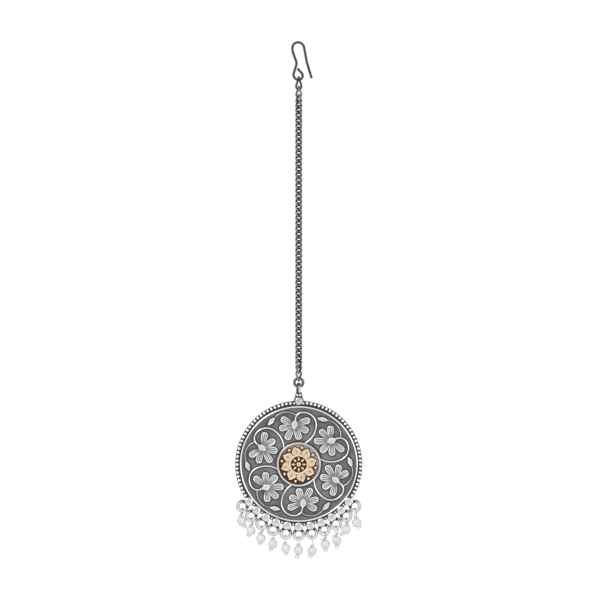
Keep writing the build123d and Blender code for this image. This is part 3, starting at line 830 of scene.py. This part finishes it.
cups = [cup(TOP_CUP_CIRCLE, 90, TOP_CUP_RADIUS, TOP_CUP_POLISH)]
for angle in fringe_angles:
    points, faces, polish = cup(CUP_CIRCLE, angle, CUP_RADIUS, CUP_POLISH)
    to_ring = apart(points, polar(RING_CIRCLE, angle))
    cups.append((points, faces, polish * (0.25 + 0.75 * smooth(to_ring, 0.95, 1.25))))
flat_rings = []
around = np.radians(np.arange(40) * 9)[:, None]
corner = (np.arange(14) + 0.5) * 2 * math.pi / 14       # a squarish section, flat in front, with soft edges
band_out = RING_WIRE / 2 * np.sign(np.cos(corner)) * abs(np.cos(corner)) ** 0.8
band_back = RING_THICK / 2 * np.sign(np.sin(corner)) * abs(np.sin(corner)) ** 0.65
for angle in fringe_angles:
    ring_centre = polar(RING_CIRCLE, angle)
    ring_radius = (RING_OUTER - RING_WIRE) / 2 + band_out
    rows = np.stack([ring_centre[0] + ring_radius * np.cos(around), band_back + 0 * around,
                     ring_centre[2] + ring_radius * np.sin(around)], -1)
    points, faces, _ = skin(rows, wrap_rows=True)
    to_next = np.minimum(*[apart(points, polar(RING_CIRCLE - 0.25, angle + side * FRINGE_PITCH))
                           for side in (-0.5, 0.5)])
    from_edge = RING_WIRE / 2 - abs(apart(points, ring_centre) - (RING_OUTER - RING_WIRE) / 2)
    to_cup = apart(points, polar(CUP_CIRCLE, angle))
    # dark where solder runs at the cup and the neighbouring rings, and painted shade along the band's edges
    rubbed = smooth(to_cup, 1.45, 2.2) * smooth(to_next, 0.15, 0.6) * smooth(from_edge, 0.0, 0.16)
    flat_rings.append((points, faces, 0.08 + 0.82 * rubbed))
spacers = [ball(polar(SPACER_CIRCLE, angle - FRINGE_PITCH / 2, 0.1), SPACER_RADIUS, rows=6, columns=10)
           for angle in fringe_angles[1:]]
piece("cups", cups, burnished_silver, rub=(0.7, 0.05, 0.35))
piece("flat_rings", flat_rings, burnished_silver, rub=(0.9, 0.35, 0.9))
piece("spacer_grains", spacers, burnished_silver, rub=(0.7, 0.15, 0.7))

# %% [markdown]
# ## The bail
# The bail is a strip bent over the jump ring, with its two ends brought together on a small foot. It was bent a
# little askew, so the back strand shows beside the front one. Two grains and two side wires dress the foot, and
# hold the top cup between them.

# %% Bail
pendant_high = box_mm("pendant")[1][2]
STRIP_HALF, STRIP_THICK = 0.36, 0.3
EYE_RADIUS, EYE_DROP = 0.55, 1.0        # the eye's inner radius and its straight part
SKEW_TOP, SKEW_FOOT = 0.2, 0.42         # how far each strand leans aside: the front one right, the back one left
CROWN_SWELL = 0.3
eye_z = pendant_high - EYE_RADIUS - STRIP_THICK
eye_middle = EYE_RADIUS + STRIP_THICK / 2
eye_angles = np.radians(np.linspace(0, 180, 13))
eye_line = [(eye_middle * math.cos(t), eye_z + eye_middle * math.sin(t)) for t in eye_angles]
eye_line += [(-eye_middle * math.cos(t), eye_z - EYE_DROP - eye_middle * math.sin(t)) for t in eye_angles]
strip_section = [(-1, 0.6), (-0.7, 1), (0.7, 1), (1, 0.6), (1, -0.6), (0.7, -1), (-0.7, -1), (-1, -0.6)]
eye_rows, eye_polish = [], []
for index, (y, z) in enumerate(eye_line):
    before, after = eye_line[index - 1], eye_line[(index + 1) % len(eye_line)]
    out = unit((after[1] - before[1], before[0] - after[0]))
    aside = -(SKEW_TOP + (SKEW_FOOT - SKEW_TOP) * smooth(eye_z - z, 0.3, 1.2)) * y / eye_middle
    swell = CROWN_SWELL * smooth(out[1], 0.3, 1.0)       # the crown, where the strip was left thick
    eye_rows.append([(aside + STRIP_HALF * across,
                      y + out[0] * (STRIP_THICK / 2 * through + swell * (through > 0)),
                      z + out[1] * (STRIP_THICK / 2 * through + swell * (through > 0)))
                     for across, through in strip_section])
    # painted shade: the crown, in shadow inside the jump ring, is darkened; the front strand is brighter than the
    # back one
    eye_polish.append([(0.3 + 0.55 * smooth(-y, -0.1, 0.6)) * (1 - 0.8 * smooth(z, eye_z - 0.1, eye_z + 0.5))]
                      * len(strip_section))
eye = skin(eye_rows, eye_polish, wrap_rows=True)

foot_top = eye_z - EYE_DROP - EYE_RADIUS - STRIP_THICK / 2 - disc_z
foot_rows = []
for b, half in ((foot_top, 0.55), (foot_top - 0.6, 0.9), (foot_top - 1.6, 0.95), (16.9, 1.2)):
    foot_rows.append([(x, y, disc_z + b) for x, y in ((-half, front_y), (half, front_y),
                                                      (half, back_y), (-half, back_y))])
foot = skin(foot_rows, 0.2)
bail_grains = [ball(on_disc(side, foot_top - 0.62, 0.08), 0.4, **GRAIN_MESH) for side in (-0.41, 0.38)]
side_wires = []
for side in (-1, 1):
    line = [(side * 0.62, foot_top + 0.1), (side * 0.85, foot_top - 0.7), (side * 1.0, foot_top - 1.4),
            (side * 1.32, foot_top - 2.3)]
    side_wires.append(wire([on_disc(a, b, 0.12) for a, b in line], 0.18, polish=0.42))
piece("bail", [eye, foot, *bail_grains, *side_wires], burnished_silver, rub=(0.6, 0.2, 0.7))

# %% [markdown]
# ## The drops
# Each drop is one headed pin: a ball melted on its end, the wire up through the pearl, an eye bent through the
# flat ring, and the tail wrapped round the neck and cut. The table gives what differs from drop to drop.

# %% Drop table and routes
PIN_WIRE, PEARL_RADIUS, PIN_BALL = 0.3, 1.3, 0.6
NECK_HEIGHT, BALL_AWAY, LOOP_WIDTH = 0.45, 1.62, 2.2
WRAP_TURNS = 2.25
# eye's turn, pin's lean, cut tail's direction and length, and how far right of the pearl and below it the ball shows
DROPS = [(70, 8, 20, 0.5, 0.81, 1.46), (65, -9, 200, 0.7, -0.59, 1.34), (60, -4, 185, 0.7, -0.20, 1.46),
         (90, -8, 160, 0.6, -0.53, 1.46), (90, 3, 170, 0.8, 0.08, 1.36), (90, -6, 175, 0.8, -0.34, 1.78),
         (90, -8, 150, 0.6, -0.42, 1.46), (65, 3, 165, 1.1, 0.08, 1.48), (65, 2, 165, 1.2, 0.06, 1.66),
         (65, -9, 20, 0.4, -0.98, 1.23), (65, 9, 30, 0.4, 0.80, 1.16)]


def pin_route(ring, pearl, downward, turn, tail_direction, tail_length):
    """The wire from the ball, up through the pearl, round the eye, and down the neck in wraps."""
    neck_bottom = pearl - downward * (PEARL_RADIUS + 0.05)
    neck_top = neck_bottom - downward * NECK_HEIGHT
    loop_top = ring + np.array((0, 0, RING_WIRE - RING_OUTER / 2 + 0.1 + PIN_WIRE / 2))
    loop_bottom = neck_top + downward * (PIN_WIRE / 2)
    upward = unit(loop_top - loop_bottom)
    level = np.array((math.cos(math.radians(turn)), math.sin(math.radians(turn)), 0))
    across = unit(level - upward * np.dot(level, upward))
    middle = (loop_top + loop_bottom) / 2
    half_height = np.linalg.norm(loop_top - loop_bottom) / 2
    route = [pearl + downward * 1.1, neck_bottom]
    for step in np.radians(np.linspace(-90, 270, 33))[1:-1]:
        narrow = 1 + 0.25 * min(math.sin(step), 0)
        route.append(middle + across * ((LOOP_WIDTH - PIN_WIRE) / 2 * narrow * math.cos(step))
                     + upward * (half_height * math.sin(step)))
    side = unit(np.cross(downward, (0, 1, 0)))
    front = np.cross(side, downward)
    wrap_radius = PIN_WIRE * 0.92
    last = math.radians(tail_direction)
    start = last - WRAP_TURNS * 2 * math.pi
    for t in np.linspace(0, 1, 26):
        angle = start + (last - start) * t
        around = side * math.cos(angle) + front * math.sin(angle)
        route.append(neck_top + downward * (NECK_HEIGHT - 0.05) * t + around * wrap_radius * smooth(t, -0.1, 0.12))
    onward = -side * math.sin(last) + front * math.cos(last)
    outward = side * math.cos(last) + front * math.sin(last)
    for reach in np.linspace(0.25, 1, 4):
        route.append(route[-1] + (outward * 0.8 + onward * 0.35) * tail_length * 0.25)
    return np.array(route)


# %% Pins and pearls
random.seed(11)
for index, (turn, lean, tail_direction, tail_length, ball_right, ball_below) in enumerate(DROPS):
    number = f"{index + 1:02d}"
    bead_low, bead_high = box_mm("drop_bead_" + number)
    pearl = (bead_low + bead_high) / 2
    pearl[2] = bead_high[2] - PEARL_RADIUS
    downward = np.array((math.sin(math.radians(lean)), 0, -math.cos(math.radians(lean))))
    ring = polar(RING_CIRCLE, fringe_angles[index])
    ring[1] = 0.0
    route = pin_route(ring, pearl, downward, turn, tail_direction, tail_length)
    ball_back = math.sqrt(max(BALL_AWAY ** 2 - ball_right ** 2 - ball_below ** 2, 0))
    ball_back = min(ball_back, PEARL_RADIUS - PIN_BALL - 0.02)      # no further back than the pearl itself
    to_ball = np.array((ball_right, ball_back, -ball_below))
    head = ball(pearl + to_ball, PIN_BALL, rows=11, columns=18, axis=to_ball)
    shaft = wire(route, PIN_WIRE / 2, polish=0.95)
    piece("pin_" + number, [shaft, head], silver_wire, "pendant", ["drop_pin_" + number],
          rub=(0.35, 0.1, 0.6))
    points, faces, polish = ball(pearl, PEARL_RADIUS, rows=23, columns=32, axis=downward)
    directions = (points - pearl) / PEARL_RADIUS
    bulge = np.zeros(len(points))
    for _ in range(3):
        pull = unit([random.uniform(-1, 1) for _ in range(3)])
        bulge += random.uniform(-0.02, 0.012) * np.maximum(directions @ pull, 0) ** 2
    piece("pearl_" + number, [(points + directions * bulge[:, None], faces, polish)], pearl_nacre, "pendant",
          ["drop_bead_" + number])

# %% [markdown]
# ## Floor, light and camera
# Polished silver shows every lamp, so jewellery is lit softly from all round. The world gives that light, at a
# strength that follows the direction: full in front, weaker at the sides, and white again straight behind, where
# the backdrop is. Silver mirrors the dark sides just inside its edges, which draws an outline round every ring and
# grain. The camera always sees a white backdrop, at a strength of one.

# %% World
world = bpy.data.worlds.new("soft_studio")
bpy.context.scene.world = world
tree = bare_tree(world)
# strengths from straight ahead of the jewel (0), through its sides (0.5), to straight behind it (1)
MIRRORED = [(0.0, 0.77), (0.3, 0.85), (0.5, 0.5), (0.72, 0.24), (0.975, 0.28), (0.995, 1.0)]
MATT = [(0.0, 0.96), (0.5, 0.58), (1.0, 0.24)]
direction = add(tree, "SeparateXYZ", {0: add(tree, "TexCoord").outputs["Generated"]})
depth = add(tree, "MapRange", {"Value": direction.outputs["Y"], "From Min": -1.0})
when_mirrored, when_matt = [ramp(tree, depth.outputs[0], stops, lambda strength: (strength,) * 3 + (1,))
                            for stops in (MIRRORED, MATT)]
mirrored = any_ray(tree, "Is Glossy Ray", "Is Transmission Ray")
lit = add(tree, "MixRGB", {"Fac": mirrored, "Color1": when_matt, "Color2": when_mirrored})
seen = add(tree, "MixRGB", {"Fac": any_ray(tree, "Is Camera Ray"), "Color1": lit.outputs[0],
                            "Color2": (1, 1, 1, 1)})
background = add(tree, "Background", {"Color": seen.outputs[0], "Strength": 1.0})
add(tree, "OutputWorld", {"Surface": background.outputs[0]})

# %% Floor
FLOOR_DROP, FLOOR_HALF = 0.30, 2.8      # metres below the jewel, and half the floor's side
FLOOR_LIFT = 0.3
floor_z = cad_low.z - FLOOR_DROP
floor_mesh = bpy.data.meshes.new("floor")
corners = [(FLOOR_HALF * x, FLOOR_HALF * y, floor_z) for x, y in ((-1, -1), (1, -1), (1, 1), (-1, 1))]
floor_mesh.from_pydata(corners, [], [(0, 1, 2, 3)])
floor = link("floor", floor_mesh)
paper = bpy.data.materials.new("white_paper")
tree = bare_tree(paper)
# lifted toward white where it is seen or mirrored; its diffuse part still takes the shadow
seen_or_mirrored = any_ray(tree, "Is Camera Ray", "Is Glossy Ray", "Is Transmission Ray")
lift = add(tree, "Math", {0: seen_or_mirrored, 1: FLOOR_LIFT}, operation="MULTIPLY")
shader = add(tree, "BsdfPrincipled", {"Base Color": linear("#F4F4F2"), "Roughness": 0.9,
                                      "Emission Color": (1, 1, 1, 1), "Emission Strength": lift.outputs[0]})
add(tree, "OutputMaterial", {"Surface": shader.outputs["BSDF"]})
floor_mesh.materials.append(paper)

# %% Lamps and camera
middle = Vector(((cad_low.x + cad_high.x) / 2, 0, (cad_low.z + cad_high.z) / 2))


def soft_lamp(name, place, size, watts):
    data = bpy.data.lights.new(name, "AREA")
    data.shape, data.size, data.energy = "SQUARE", size, watts
    lamp = link(name, data)
    lamp.location = middle + Vector(place)
    lamp.rotation_euler = (-Vector(place)).to_track_quat("-Z", "Y").to_euler()


soft_lamp("key_softbox", (-0.7, -0.7, 0.8), 0.6, 4.5)
soft_lamp("fill_softbox", (0.9, -0.6, 0.2), 0.8, 2.2)

CAMERA_DISTANCE, FRAME_WIDTH = 0.9, 0.168
CAMERA_RIGHT, CAMERA_UP = 0.00035, -0.0718
camera_data = bpy.data.cameras.new("camera")
camera_data.lens = camera_data.sensor_width * CAMERA_DISTANCE / FRAME_WIDTH
camera = link("camera", camera_data)
camera.location = (CAMERA_RIGHT, -CAMERA_DISTANCE, CAMERA_UP)
camera.rotation_euler = (math.pi / 2, 0, 0)
bpy.context.scene.camera = camera
bpy.context.scene.view_settings.view_transform = "Standard"
print("camera lens", round(camera_data.lens, 1), "mm")

# %% Count the added triangles
print("triangles added:", sum(made_triangles.values()))
